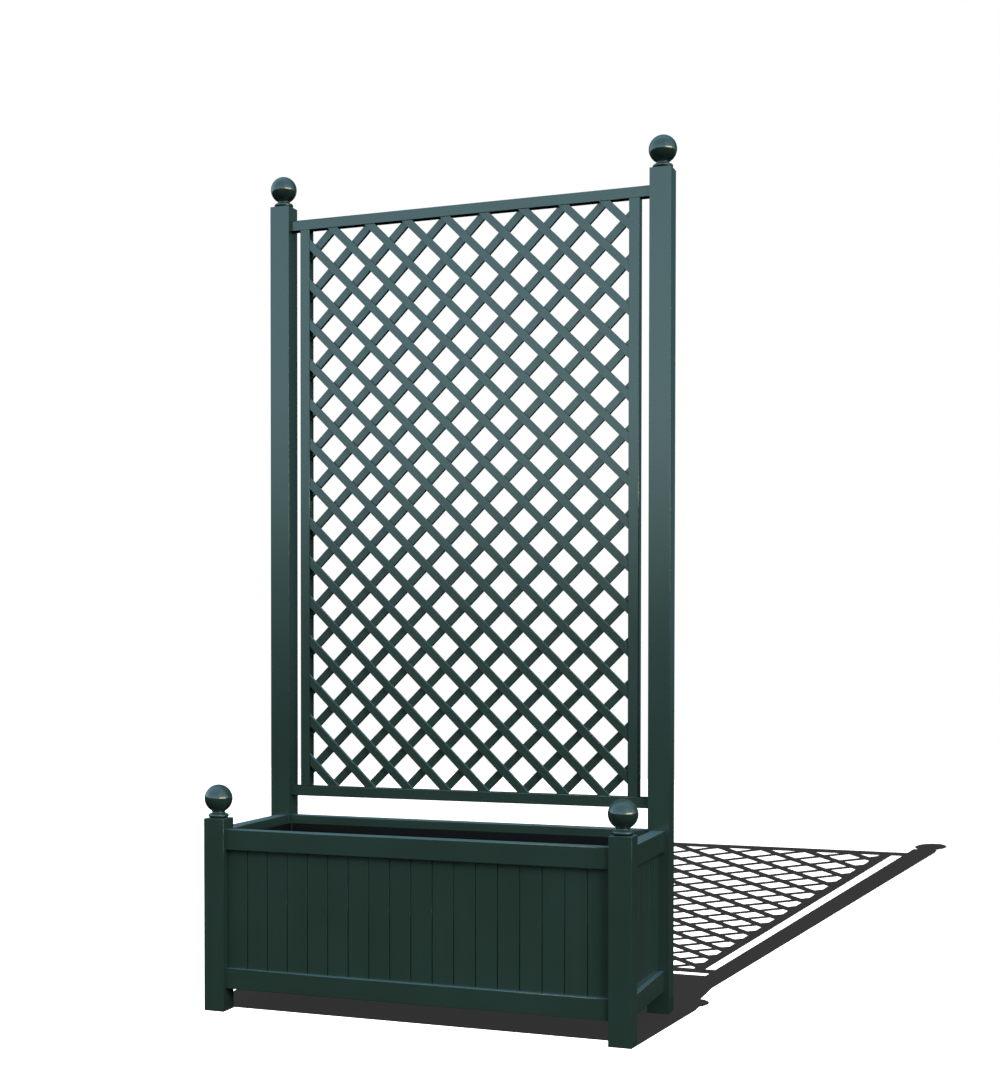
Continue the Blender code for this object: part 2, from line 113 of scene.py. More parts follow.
@dataclass(frozen=True)
class Socket:
    """A node's output and the graph that it is in. Arithmetic on it adds Math nodes."""

    graph: Graph
    output: bpy.types.NodeSocket

    def _math(self, operation: str, first: Value, second: Value) -> Socket:
        """A Math node on two values."""
        return self.graph.node("ShaderNodeMath", {"operation": operation}, {0: first, 1: second})

    def __add__(self, other: Value) -> Socket:
        """self + other."""
        return self._math("ADD", self, other)

    def __radd__(self, other: Value) -> Socket:
        """other + self."""
        return self._math("ADD", other, self)

    def __sub__(self, other: Value) -> Socket:
        """self - other."""
        return self._math("SUBTRACT", self, other)

    def __rsub__(self, other: Value) -> Socket:
        """other - self."""
        return self._math("SUBTRACT", other, self)

    def __mul__(self, other: Value) -> Socket:
        """self * other."""
        return self._math("MULTIPLY", self, other)

    def __rmul__(self, other: Value) -> Socket:
        """other * self."""
        return self._math("MULTIPLY", other, self)

    def __pow__(self, other: Value) -> Socket:
        """self ** other."""
        return self._math("POWER", self, other)

    def __rpow__(self, other: Value) -> Socket:
        """other ** self."""
        return self._math("POWER", other, self)

    def __abs__(self) -> Socket:
        """abs(self)."""
        return self.graph.node("ShaderNodeMath", {"operation": "ABSOLUTE"}, {0: self})


Value = Union[float, Sequence[float], Socket]


class Graph:
    """The node tree of a material, a lamp or the world, emptied and then built by one method."""

    def __init__(self, tree: bpy.types.NodeTree) -> None:
        """Takes a tree over.

        Args:
            tree: The tree to fill. What it holds is removed.
        """
        self.tree = tree
        self.tree.nodes.clear()

    def node(
        self,
        kind: str,
        settings: Mapping[str, object] | None = None,
        inputs: Mapping[Union[int, str], Value] | None = None,
        output: Union[int, str] = 0,
    ) -> Socket | None:
        """Adds a node.

        Args:
            kind: The node's type.
            settings: Its properties, set first.
            inputs: Values or links of its sockets, by index or name.
            output: Which output to return.

        Returns:
            The chosen output, wrapped, or None for a node without outputs.
        """
        made = self.tree.nodes.new(kind)
        for name, value in (settings or {}).items():
            setattr(made, name, value)
        for key, value in (inputs or {}).items():
            socket = made.inputs[key]
            if isinstance(value, Socket):
                self.tree.links.new(value.output, socket)
            else:
                socket.default_value = value
        return Socket(self, made.outputs[output]) if made.outputs else None

    def mix(self, factor: Value, first: Value, second: Value) -> Socket:
        """A colour between two colours."""
        first, second = ((*c, 1.0) if isinstance(c, tuple) else c for c in (first, second))
        inputs = {0: factor, 6: first, 7: second}
        return self.node("ShaderNodeMix", {"data_type": "RGBA"}, inputs, output=2)

    def noise(
        self, vector: Socket, scale: float, detail: float = 2.0, roughness: float = 0.5
    ) -> Socket:
        """Noise between about 0.3 and 0.7, at so many cells a metre."""
        inputs = {"Vector": vector, "Scale": scale, "Detail": detail, "Roughness": roughness}
        return self.node("ShaderNodeTexNoise", {"noise_dimensions": "3D"}, inputs)

    def ramp(self, value: Socket, start: float, end: float) -> Socket:
        """A smooth step from 0 at the start to 1 at the end."""
        inputs = {0: value, 1: start, 2: end, 3: 0.0, 4: 1.0}
        return self.node("ShaderNodeMapRange", {"interpolation_type": "SMOOTHSTEP"}, inputs)

    def parts(self, vector: Socket) -> tuple[Socket, ...]:
        """A vector's three parts."""
        split = self.node("ShaderNodeSeparateXYZ", None, {0: vector}).output.node
        return tuple(Socket(self, output) for output in split.outputs)

    def dot(self, vector: Socket, other: Place) -> Socket:
        """The dot product of a vector and a fixed one."""
        inputs = {0: vector, 1: other}
        return self.node("ShaderNodeVectorMath", {"operation": "DOT_PRODUCT"}, inputs, "Value")

    def stretched(self, vector: Socket, scale: Place) -> Socket:
        """A vector with each of its parts multiplied by a number."""
        return self.node("ShaderNodeVectorMath", {"operation": "MULTIPLY"}, {0: vector, 1: scale})

    def bump(self, height: Socket) -> Socket:
        """The normal of a surface that a height in metres raises."""
        inputs = {"Strength": 1.0, "Distance": 1.0, "Height": height}
        return self.node("ShaderNodeBump", None, inputs, output="Normal")

    def dull(self, grey: float) -> Socket:
        """A dull grey surface."""
        return self.node("ShaderNodeBsdfDiffuse", None, {"Color": (grey, grey, grey, 1.0)})


# Finishes


class Finish(ABC):
    """What a surface looks like."""

    def material(self, name: str) -> bpy.types.Material:
        """Builds the finish.

        Args:
            name: The material's name.

        Returns:
            The material.
        """
        made = bpy.data.materials.new(name)
        made.use_nodes = True
        graph = Graph(made.node_tree)
        graph.node("ShaderNodeOutputMaterial", None, {"Surface": self.shader(graph)})
        return made

    @abstractmethod
    def shader(self, graph: Graph) -> Socket:
        """Builds the shader of the finish in a material's graph."""


@dataclass(frozen=True)
class PaintFinish(Finish):
    """Sprayed satin paint on planed hardwood.

    The colour drifts a little over each piece, faint streaks of the grain follow its length, and
    the film has the fine waviness of sprayed paint. Whatever faces up is painted paler and bluer,
    a painted sheen of skylight, and its film is duller, as under a thin film of dust. Both grow
    while the normal's upward part goes through the two numbers of its slope. Cells are counted
    to a metre, those of the grain along it and in both ways across it.
    """

    colour: Colour = (0.0171, 0.0376, 0.0302)
    drift: float = 0.10
    cloud_cells: float = 5.0
    cloud_contrast: float = 1.4
    streak_cells: Place = (1.2, 38.0, 38.0)
    streak_contrast: float = 0.60
    fibre_cells: Place = (4.0, 420.0, 420.0)
    fibre_depth: float = 0.000012
    peel_cells: float = 620.0
    peel_depth: float = 0.000004
    roughness: float = 0.20
    roughness_drift: float = 0.05
    # The colour that upward faces turn to: painted skylight on the tops, paler and bluer than the
    # paint.
    painted_top_light: Colour = (0.030, 0.080, 0.094)
    dust_roughness: float = 0.30
    upward_slope: Span = (0.40, 0.72)
    refraction: float = 1.5

    def shader(self, graph: Graph) -> Socket:
        """Builds the shader.

        Args:
            graph: The material's graph.

        Returns:
            The shader.
        """
        along = graph.node(
            "ShaderNodeAttribute", {"attribute_name": GRAIN_ATTRIBUTE}, output="Vector"
        )
        place = graph.node("ShaderNodeTexCoord", output="Object")
        outward = graph.node("ShaderNodeTexCoord", output="Normal")
        cloud = graph.noise(place, self.cloud_cells)
        streaks = graph.noise(graph.stretched(along, self.streak_cells), 1.0)
        fibres = graph.noise(
            graph.stretched(along, self.fibre_cells), 1.0, detail=3.0, roughness=0.6
        )
        peel = graph.noise(place, self.peel_cells, detail=1.0)
        tone = (cloud - 0.5) * self.cloud_contrast + (streaks - 0.5) * self.streak_contrast + 0.5
        dark = tuple(c * (1.0 - self.drift) for c in self.colour)
        light = tuple(c * (1.0 + self.drift) for c in self.colour)
        rough = (cloud + fibres - 1.0) * self.roughness_drift + self.roughness
        # Upward faces get painted skylight in their colour, and a rougher film as from dust.
        dusty = graph.ramp(graph.parts(outward)[2], *self.upward_slope)
        inputs = {
            "Base Color": graph.mix(dusty, graph.mix(tone, dark, light), self.painted_top_light),
            "Roughness": rough + dusty * self.dust_roughness,
            "IOR": self.refraction,
            "Normal": graph.bump(fibres * self.fibre_depth + peel * self.peel_depth),
        }
        return graph.node("ShaderNodeBsdfPrincipled", None, inputs)


# The finials are turned and sanded finer than the planed pieces, so their film is glossier.
TURNED_SHADED_PAINT = PaintFinish(
    # The colour is darker than the other paint: painted shade on the balls.
    colour=(0.0145, 0.0310, 0.0245),
    streak_contrast=0.30,
    roughness=0.15,
    # Upward faces are painted paler again: painted skylight on the balls' tops.
    painted_top_light=(0.020, 0.042, 0.036),
    dust_roughness=0.02,
)


@dataclass(frozen=True)
class PlasticFinish(Finish):
    """Black moulded plastic with a fine dull texture and faint upright drag marks from the mould.

    Cells are counted to a metre.
    """

    colour: Colour = (0.0020, 0.0020, 0.0021)
    dusty: Colour = (0.0038, 0.0037, 0.0036)
    dust_share: float = 0.3
    cloud_cells: float = 9.0
    cloud_contrast: float = 1.6
    drag_cells: Place = (160.0, 160.0, 3.0)
    drag_contrast: float = 0.4
    stipple_cells: float = 1400.0
    texture_depth: float = 0.00002
    roughness: float = 0.62
    roughness_drift: float = 0.16
    refraction: float = 1.49
    mirror_level: float = 0.07

    def shader(self, graph: Graph) -> Socket:
        """Builds the shader.

        Args:
            graph: The material's graph.

        Returns:
            The shader.
        """
        place = graph.node("ShaderNodeTexCoord", output="Object")
        cloud = graph.noise(place, self.cloud_cells, detail=3.0, roughness=0.6)
        drag = graph.noise(graph.stretched(place, self.drag_cells), 1.0)
        stipple = graph.noise(place, self.stipple_cells, detail=1.0)
        drifted = (cloud - 0.5) * self.cloud_contrast + (drag - 0.5) * self.drag_contrast
        inputs = {
            "Base Color": graph.mix(drifted + self.dust_share, self.colour, self.dusty),
            "Roughness": (cloud - 0.5) * self.roughness_drift + self.roughness,
            "IOR": self.refraction,
            "Specular IOR Level": self.mirror_level,
            "Normal": graph.bump((stipple + drag) * self.texture_depth),
        }
        return graph.node("ShaderNodeBsdfPrincipled", None, inputs)


@dataclass(frozen=True)
class GroundFinish(Finish):
    """The studio floor: pale where the camera looks at it, and quiet where the paint mirrors it.

    Its lamp is so strong that the grey that the camera sees comes out white. The fill is the
    little light that the camera sees within the shadow too.
    """

    seen: float = 0.0053
    fill: float = 0.031
    mirrored: float = 0.000048

    def shader(self, graph: Graph) -> Socket:
        """Builds the shader.

        Args:
            graph: The material's graph.

        Returns:
            The shader.
        """
        by_camera = graph.node("ShaderNodeLightPath", output="Is Camera Ray")
        fill = graph.node("ShaderNodeEmission", None, {"Strength": self.fill})
        pale = graph.node("ShaderNodeAddShader", None, {0: graph.dull(self.seen), 1: fill})
        quiet = graph.dull(self.mirrored)
        return graph.node("ShaderNodeMixShader", None, {0: by_camera, 1: quiet, 2: pale})


# Shapes


@dataclass
class Shell:
    """One closed shell.

    Attributes:
        points: Places of its points, (n, 3).
        faces: Arrays of faces, (m, k) each, with the points counter-clockwise seen from outside.
        flat: For each array of faces, which of them lie in a plane and are shaded flat.
        grain: Each point's place in the piece of wood: along, across and deep.
    """

    points: np.ndarray
    faces: list[np.ndarray]
    flat: list[np.ndarray]
    grain: np.ndarray


def softened(
    outline: np.ndarray, radius: np.ndarray, steps: int
) -> tuple[np.ndarray, np.ndarray]:
    """Rounds the corners of a closed outline.

    Each corner becomes the circular arc that touches both of its sides at the corner's radius
    times the tangent of half its turn, written as a rational quadratic curve between the two
    touching points.

    Args:
        outline: Corners, (n, 2), counter-clockwise.
        radius: Radius at each corner, (n,).
        steps: Straight pieces in each arc.

    Returns:
        The points, (n * (steps + 1), 2), and whether the side that leaves each point is flat.
    """
    before = np.roll(outline, 1, axis=0) - outline
    after = np.roll(outline, -1, axis=0) - outline
    before_length = np.linalg.norm(before, axis=1, keepdims=True)
    after_length = np.linalg.norm(after, axis=1, keepdims=True)
    before = before / before_length
    after = after / after_length
    turn = math.pi - np.arccos(np.clip((before * after).sum(1), -1.0, 1.0))
    room = CORNER_SHARE * np.minimum(before_length, after_length)[:, 0]
    reach = np.minimum(radius * np.tan(turn / 2), room)[:, None]
    first, last = outline + before * reach, outline + after * reach
    t = np.linspace(0.0, 1.0, steps + 1)[None, :, None]
    start, end = (1 - t) ** 2, t**2
    bend = 2 * np.cos(turn / 2)[:, None, None] * t * (1 - t)
    arc = start * first[:, None] + bend * outline[:, None] + end * last[:, None]
    flat = np.zeros((len(outline), steps + 1), bool)
    flat[:, -1] = True
    return (arc / (start + bend + end)).reshape(-1, 2), flat.reshape(-1)


def arc_down(centre: Span, radius: float, end: float, steps: int) -> np.ndarray:
    """Points of an arc, centre + radius * (cos a, sin a), with a from a quarter turn down.

    Args:
        centre: The arc's centre, out from the axis and up.
        radius: The arc's radius.
        end: The angle above the level at which it ends.
        steps: How many points it has.

    Returns:
        The points, (steps, 2).
    """
    angle = np.linspace(math.pi / 2, end, steps)
    return centre + radius * np.stack([np.cos(angle), np.sin(angle)], axis=1)


def ring_faces(rings: int, around: int) -> np.ndarray:
    """Quads between neighbouring rings of points, ring by ring.

    Args:
        rings: How many rings there are.
        around: How many points each has.

    Returns:
        The quads, ((rings - 1) * around, 4).
    """
    ring, step = np.meshgrid(np.arange(rings - 1), np.arange(around), indexing="ij")
    following = (step + 1) % around
    low, high = ring * around, (ring + 1) * around
    corners = (low + step, low + following, high + following, high + step)
    return np.stack(corners, axis=-1).reshape(-1, 4)


def oriented(shell: Shell) -> Shell:
    """Turns every face round if the shell's volume comes out negative.

    The volume is the sum over fans of triangles of the first corner's dot product with the cross
    product of the other two.

    Args:
        shell: The shell.

    Returns:
        The same shell.
    """
    volume = 0.0
    for faces in shell.faces:
        corners = shell.points[faces]
        for k in range(1, faces.shape[1] - 1):
            cross = np.cross(corners[:, k], corners[:, k + 1])
            volume += float((corners[:, 0] * cross).sum())
    if volume < 0:
        shell.faces = [faces[:, ::-1] for faces in shell.faces]
    return shell


def tube(points: np.ndarray, rings: int, flat: np.ndarray, grain: np.ndarray) -> Shell:
    """Joins rings of points with quads and closes the first and the last with a flat face.

    Args:
        points: The rings' points, ring by ring, (n, 3).
        rings: How many rings they make.
        flat: Which of the quads are flat.
        grain: Each point's place in the piece of wood, (n, 3).

    Returns:
        The shell.
    """
    around = len(points) // rings
    first = np.arange(around)
    caps = np.stack([first[::-1], first + (rings - 1) * around])
    faces = [ring_faces(rings, around), caps]
    return oriented(Shell(points, faces, [flat, np.ones(2, bool)], grain))


def prism(outline: np.ndarray, flat: np.ndarray, axis: Axis, start: float, end: float) -> Shell:
    """Carries an outline along an axis: each of its points at the start, and again at the end.

    Args:
        outline: The section, (n, 2), in the two other axes in their usual order.
        flat: Which of its sides are flat.
        axis: The way that the piece runs.
        start: Where it starts.
        end: Where it ends.

    Returns:
        The shell.
    """
    count = len(outline)
    along = np.stack([np.broadcast_to(start, count), np.broadcast_to(end, count)])
    section = np.broadcast_to(outline, (2, count, 2))
    grain = np.dstack([along, section]).reshape(-1, 3)
    points = np.insert(section, axis.value, along, axis=2).reshape(-1, 3)
    return tube(points, 2, flat, grain)


def corner_turns(steps: int) -> tuple[np.ndarray, np.ndarray]:
    """Angles once round a rounded rectangle, a quarter turn at each corner, and its signs.

    Args:
        steps: Straight pieces in a quarter turn.

    Returns:
        The angles, (n,), and the signs along X and Y, (n, 2).
    """
    quarter = np.linspace(0.0, math.pi / 2, steps + 1)
    u = (quarter[None, :] + np.arange(4)[:, None] * math.pi / 2).reshape(-1)
    signs = np.array([(1.0, 1.0), (-1.0, 1.0), (-1.0, -1.0), (1.0, -1.0)])
    return u, signs.repeat(steps + 1, axis=0)


def block(low: Vector, high: Vector, radius: float, steps: int, axis: Axis) -> Shell:
    """A box with every edge rounded.

    With u once round it and t from bottom to top, a point is a corner's centre, moved in by the
    radius from both sides, plus radius * (cos t cos u, cos t sin u, sin t). The two ends are
    closed by flat faces.

    Args:
        low: Lowest corner.
        high: Highest corner.
        radius: Radius of the edges.
        steps: Straight pieces in a quarter turn.
        axis: The way that the grain runs.

    Returns:
        The shell.
    """
    low, high = np.array(low), np.array(high)
    middle, half = (low + high) / 2, (high - low) / 2
    u, sign = corner_turns(steps)
    quarter = np.linspace(0.0, math.pi / 2, steps + 1)
    t = np.concatenate([quarter - math.pi / 2, quarter])
    sign_z = np.repeat([-1.0, 1.0], steps + 1)
    spread = np.maximum(radius * np.cos(t), TINY)[:, None]
    x = sign[:, 0] * (half[0] - radius) + spread * np.cos(u)
    y = sign[:, 1] * (half[1] - radius) + spread * np.sin(u)
    z = np.broadcast_to((sign_z * (half[2] - radius) + radius * np.sin(t))[:, None], x.shape)
    points = np.stack([x, y, z], axis=-1).reshape(-1, 3) + middle
    rings, around = len(t), len(u)
    straight = np.tile((np.arange(around) + 1) % (steps + 1) == 0, rings - 1)
    walls = np.repeat(np.arange(rings - 1) == steps, around)
    return tube(points, rings, straight & walls, np.roll(points, -axis.value, axis=1))


def turned(profile: np.ndarray, centre: Span, steps: int) -> Shell:
    """Turns a profile about an upright axis: a point is (r cos u, r sin u, z).

    Args:
        profile: Radius and height from the top, where the radius is 0, down to the foot, (n, 2).
        centre: Where the axis stands.
        steps: Straight pieces in a full turn.

    Returns:
        The shell, closed by a fan at the top and a flat face at the foot.
    """
    u = np.arange(steps) * 2 * math.pi / steps
    radius, height = profile[1:, 0:1], profile[1:, 1:2]
    x = centre[0] + radius * np.cos(u)
    y = centre[1] + radius * np.sin(u)
    rings = np.stack([x, y, np.broadcast_to(height, x.shape)], axis=-1).reshape(-1, 3)
    points = np.vstack([rings, (*centre, profile[0, 1])])
    first = np.arange(steps)
    fan = np.stack([np.full(steps, len(rings)), first, (first + 1) % steps], axis=1)
    sides = ring_faces(len(radius), steps)[:, ::-1]
    foot = (first + len(rings) - steps)[None, ::-1]
    flat = [np.zeros(len(sides), bool), np.zeros(steps, bool), np.ones(1, bool)]
    grain = np.roll(points, 1, axis=1)
    return oriented(Shell(points, [sides, fan, foot], flat, grain))


class Workshop:
    """Makes pieces from shells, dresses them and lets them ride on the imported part."""

    def __init__(self) -> None:
        """Builds one material for each of the record's slots."""
        paint = PaintFinish()
        finishes: dict[Slot, Finish] = {slot: paint for slot in Slot}
        finishes[Slot.FINIAL] = TURNED_SHADED_PAINT
        finishes[Slot.LINER] = PlasticFinish()
        self.materials = {slot: finish.material(slot.value) for slot, finish in finishes.items()}
        self.made = 0

    def piece(
        self,
        name: str,
        shells: Sequence[Shell],
        slot: Slot,
        nodes: Sequence[str],
        body: Body = Body.PLANTER,
    ) -> bpy.types.Object:
        """Makes one piece.

        Args:
            name: Its name.
            shells: What it is made of.
            slot: Its material slot in the record.
            nodes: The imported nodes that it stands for.
            body: The body that it rides on.

        Returns:
            The piece.
        """
        points = np.vstack([shell.points for shell in shells])
        starts = np.cumsum([0] + [len(shell.points) for shell in shells])
        draws = np.random.default_rng(self.made)
        shift = draws.uniform(0.0, GRAIN_SPREAD, (len(shells), 3))
        grain = np.vstack([shell.grain + move for shell, move in zip(shells, shift)])
        groups = [group + begin for shell, begin in zip(shells, starts) for group in shell.faces]
        corners = np.concatenate([group.ravel() for group in groups])
        sizes = np.concatenate([np.full(len(group), group.shape[1]) for group in groups])
        flat = np.concatenate([group for shell in shells for group in shell.flat])
        mesh = bpy.data.meshes.new(name)
        mesh.vertices.add(len(points))
        mesh.vertices.foreach_set("co", points.ravel())
        mesh.loops.add(len(corners))
        mesh.loops.foreach_set("vertex_index", corners)
        mesh.polygons.add(len(sizes))
        mesh.polygons.foreach_set("loop_start", np.cumsum(sizes) - sizes)
        mesh.polygons.foreach_set("use_smooth", ~flat)
        mesh.update(calc_edges=True)
        attribute = mesh.attributes.new(GRAIN_ATTRIBUTE, "FLOAT_VECTOR", "POINT")
        attribute.data.foreach_set("vector", grain.astype(np.float32).ravel())
        mesh.validate()
        mesh.materials.append(self.materials[slot])
        made = bpy.data.objects.new(name, mesh)
        bpy.context.scene.collection.objects.link(made)
        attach(made, body.value)
        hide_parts(*nodes)
        self.made += 1
        LOG.info("%s: %d faces for %s", name, len(sizes), ", ".join(nodes))
        return made


# Sub-assemblies


@dataclass(frozen=True)
class Posts:
    """The four square posts."""

    edge_radius: float = 0.0005
    steps: int = 4

    def build(self, workshop: Workshop) -> None:
        """Makes the posts, each with all its edges rounded.

        Args:
            workshop: Where they are made.
        """
        for row in ("front", "rear"):
            for side in ("left", "right"):
                node = f"post_{row}_{side}"
                low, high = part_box(node)
                shell = block(low, high, self.edge_radius, self.steps, Axis.Z)
                workshop.piece(f"{row}_{side}_post", [shell], Slot.POST, [node])


@dataclass(frozen=True)
class Finials:
    """The four turned finials: a ball on a hollow neck and a beaded collar."""

    ball_radius: float = 0.0320
    neck_length: float = 0.0069
    neck_radius: float = 0.0165
    neck_hollow: float = 0.0020
    collar_radius: float = 0.0188
    bead_radius: float = 0.0045
    collar_height: float = 0.0060
    foot_radius: float = 0.0178
    around: int = 72
    ball_steps: int = 40
    neck_steps: int = 13
    bead_steps: int = 20

    def profile(self, base: float) -> np.ndarray:
        """Radius and height down the finial.

        The ball is an arc from the top to the neck. The neck's radius grows with the cube of the
        way down, less a sine that hollows it, and the bead is half a circle that stands out from
        the collar.

        Args:
            base: Height of the post's top.

        Returns:
            The profile, (n, 2).
        """
        neck_top = self.collar_height + self.bead_radius + self.neck_length
        middle = neck_top + math.sqrt(self.ball_radius**2 - self.neck_radius**2)
        ball_end = -math.acos(self.neck_radius / self.ball_radius)
        ball = arc_down((0.0, middle), self.ball_radius, ball_end, self.ball_steps)
        part = np.linspace(0.0, 1.0, self.neck_steps)[1:]
        hollow = self.neck_hollow * np.sin(math.pi * part)
        flare = (self.collar_radius - self.neck_radius) * part**3 - hollow
        neck = np.stack([self.neck_radius + flare, neck_top - self.neck_length * part], axis=1)
        collar = (self.collar_radius, self.collar_height)
        bead = arc_down(collar, self.bead_radius, -math.pi / 2, self.bead_steps)[1:]
        foot_top = self.collar_height - self.bead_radius
        foot = np.array([(self.foot_radius, foot_top), (self.foot_radius, GAP)])
        profile = np.vstack([ball, neck, bead, foot])
        profile[0, 0] = 0.0
        return profile + (0.0, base)

    def build(self, workshop: Workshop) -> None:
        """Makes a finial on each post.

        Args:
            workshop: Where they are made.
        """
        for row in ("front", "rear"):
            for side in ("left", "right"):
                low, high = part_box(f"post_{row}_{side}")
                centre = (float(low.x + high.x) / 2, float(low.y + high.y) / 2)
                shell = turned(self.profile(high.z), centre, self.around)
                name, node = f"{row}_{side}_finial", f"finial_{row}_{side}"
                workshop.piece(name, [shell], Slot.FINIAL, [node])


@dataclass(frozen=True)
class Side:
    """One side of the box: how its rails run, and the sign of the way that its face looks."""

    name: str
    axis: Axis
    outward: int


SIDES = (
    Side("front", Axis.X, -1),
    Side("rear", Axis.X, 1),
    Side("left", Axis.Y, -1),
    Side("right", Axis.Y, 1),
)


def between_posts(axis: Axis) -> Span:
    """The room between the inner faces of the posts, less the gap of a joint at both ends.

    Args:
        axis: The way that it is measured, X or Y.

    Returns:
        Where it starts and ends.
    """
    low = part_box("post_front_left")[1][axis.value]
    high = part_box("post_rear_right")[0][axis.value]
    return low + GAP, high - GAP


def grooved(faces: Span, edges: Span, groove: Span, bottom: float) -> np.ndarray:
    """Corners of a rectangle with a groove in one edge.

    Args:
        faces: Where its two faces lie.
        edges: Where its plain edge and its grooved one lie.
        groove: Where the groove's two sides lie, between the faces.
        bottom: Where the groove's bottom lies, between the edges.

    Returns:
        The corners, (8, 2), from the plain edge round by the grooved one.
    """
    plain, open_edge = edges
    first = [(faces[0], plain), (faces[0], open_edge), (groove[0], open_edge), (groove[0], bottom)]
    last = [(groove[1], bottom), (groove[1], open_edge), (faces[1], open_edge), (faces[1], plain)]
    return np.array(first + last)


@dataclass(frozen=True)
class BoxRails:
    """Top and bottom rails of the four sides, with a groove for the boards."""

    edge_radius: float = 0.0012
    groove_radius: float = 0.0003
    groove_depth: float = 0.008
    board_thickness: float = 0.012
    board_set_back: float = 0.012
    steps: int = 4

    def section(
        self, side: Side, low: Vector, high: Vector, grooved_top: bool
    ) -> tuple[np.ndarray, np.ndarray]:
        """The rail's section, across and up, with the groove in its top or in its underside.

        Args:
            side: The side that the rail belongs to.
            low: The rail's lowest corner.
            high: Its highest corner.
            grooved_top: Whether the groove opens upwards.

        Returns:
            The outline and which of its sides are flat.
        """
        across = 1 - side.axis.value
        inner, outer = low[across], high[across]
        if side.outward < 0:
            inner, outer = outer, inner
        first = outer - side.outward * (self.board_set_back - GAP)
        second = outer - side.outward * (self.board_set_back + self.board_thickness + GAP)
        open_z, far_z = (high.z, low.z) if grooved_top else (low.z, high.z)
        deep = open_z + (far_z - open_z) * self.groove_depth / (high.z - low.z)
        corners = grooved((outer, inner), (far_z, open_z), (first, second), deep)
        edge, inside = [self.edge_radius] * 2, [self.groove_radius] * 4
        return softened(corners, np.array(edge + inside + edge), self.steps)

    def build(self, workshop: Workshop) -> None:
        """Makes the eight rails.

        Args:
            workshop: Where they are made.
        """
        for side in SIDES:
            for level in ("top", "bottom"):
                node = f"{level}_rail_{side.name}"
                low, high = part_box(node)
                outline, flat = self.section(side, low, high, level == "bottom")
                start, end = between_posts(side.axis)
                shell = prism(outline, flat, side.axis, start, end)
                workshop.piece(f"{side.name}_{level}_rail", [shell], Slot.RAIL, [node])


@dataclass(frozen=True)
class Boards:
    """Tongued and grooved boards with open joints, in the grooves of the rails.

    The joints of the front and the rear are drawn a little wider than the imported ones, so that
    they show as dark lines, and those of the two ends are drawn tight. Every edge is barely
    broken, because a broad chamfer would mirror the sky and show as a pale line.
    """

    pitch: float = 0.050
    joint: float = 0.0021
    chamfer: float = 0.0002
    end_joint: float = 0.0004
    end_chamfer: float = 0.0001
    arris: float = 0.0001
    tongue_length: float = 0.005
    tongue_thickness: float = 0.004
    steps: int = 3

    def section(
        self, side: Side, lines: Span, thickness: float, first: bool, last: bool
    ) -> np.ndarray:
        """Corners of a board's section, along its side and in from its face.

        Args:
            side: The side that the board belongs to.
            lines: Its two joint lines.
            thickness: The board's thickness.
            first: Whether it has no groove, as the board beside the first post.
            last: Whether it has no tongue, as the board beside the last post.

        Returns:
            The corners, (n, 2).
        """
        joint, chamfer = self.joint, self.chamfer
        if side.axis is Axis.Y:
            joint, chamfer = self.end_joint, self.end_chamfer
        a, b = lines[0] + joint / 2, lines[1] - joint / 2
        middle, half = thickness / 2, self.tongue_thickness / 2
        near, far, tip = middle - half, middle + half, b + self.tongue_length
        tongue = [(b, near), (tip, near), (tip, far), (b, far)]
        half += GAP
        near, far, tip = middle - half, middle + half, a + self.tongue_length + GAP
        groove = [(a, far), (tip, far), (tip, near), (a, near)]
        face = [(a, chamfer), (a + chamfer, 0.0), (b - chamfer, 0.0), (b, chamfer)]
        back = [(b, thickness), (a, thickness)]
        return np.array(face + ([] if last else tongue) + back + ([] if first else groove))

    def side_shells(self, side: Side, node: str) -> list[Shell]:
        """The boards of one side.

        Args:
            side: The side.
            node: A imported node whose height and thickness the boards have.

        Returns:
            One shell for each board.
        """
        low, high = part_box(node)
        across = 1 - side.axis.value
        face = low[across] if side.outward < 0 else high[across]
        thickness = high[across] - low[across]
        start, end = between_posts(side.axis)
        start, end = start - GAP, end + GAP
        count = round((end - start) / self.pitch)
        pitch = (end - start) / count
        shells = []
        for i in range(count):
            lines = (start + i * pitch, start + i * pitch + pitch)
            corners = self.section(side, lines, thickness, i == 0, i == count - 1)
            corners[:, 1] = face - side.outward * corners[:, 1]
            outline, flat = softened(corners, np.full(len(corners), self.arris), self.steps)
            order = outline if side.axis is Axis.X else outline[:, ::-1]
            shells.append(prism(order, flat, Axis.Z, low.z, high.z))
        return shells

    def build(self, workshop: Workshop) -> None:
        """Makes the boards of the four sides. Those of the rear are one piece, as their node is.

        Args:
            workshop: Where they are made.
        """
        for side in SIDES:
            if side.name == "rear":
                shells = self.side_shells(side, "rear_panel")
                workshop.piece("rear_boards", shells, Slot.BOARD, ["rear_panel"])
                continue
            shells = self.side_shells(side, f"board_{side.name}_01")
            for i, shell in enumerate(shells, start=1):
                name, node = f"{side.name}_board_{i:02d}", f"board_{side.name}_{i:02d}"
                workshop.piece(name, [shell], Slot.BOARD, [node])


@dataclass(frozen=True)
class BoxFloor:
    """Ledgers along the bottom rails, and the slats across them."""

    edge_radius: float = 0.0012
    steps: int = 3
    slats: int = 5

    def build(self, workshop: Workshop) -> None:
        """Makes the ledgers and the slats.

        Args:
            workshop: Where they are made.
        """
        for row in ("front", "rear"):
            low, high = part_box(f"ledger_{row}")
            shell = block(low, high, self.edge_radius, self.steps, Axis.X)
            workshop.piece(f"{row}_ledger", [shell], Slot.FLOOR, [f"ledger_{row}"])
        for i in range(1, self.slats + 1):
            low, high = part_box(f"floor_slat_{i}")
            shell = block(low, high, self.edge_radius, self.steps, Axis.Y)
            workshop.piece(f"slat_{i}", [shell], Slot.FLOOR, [f"floor_slat_{i}"])


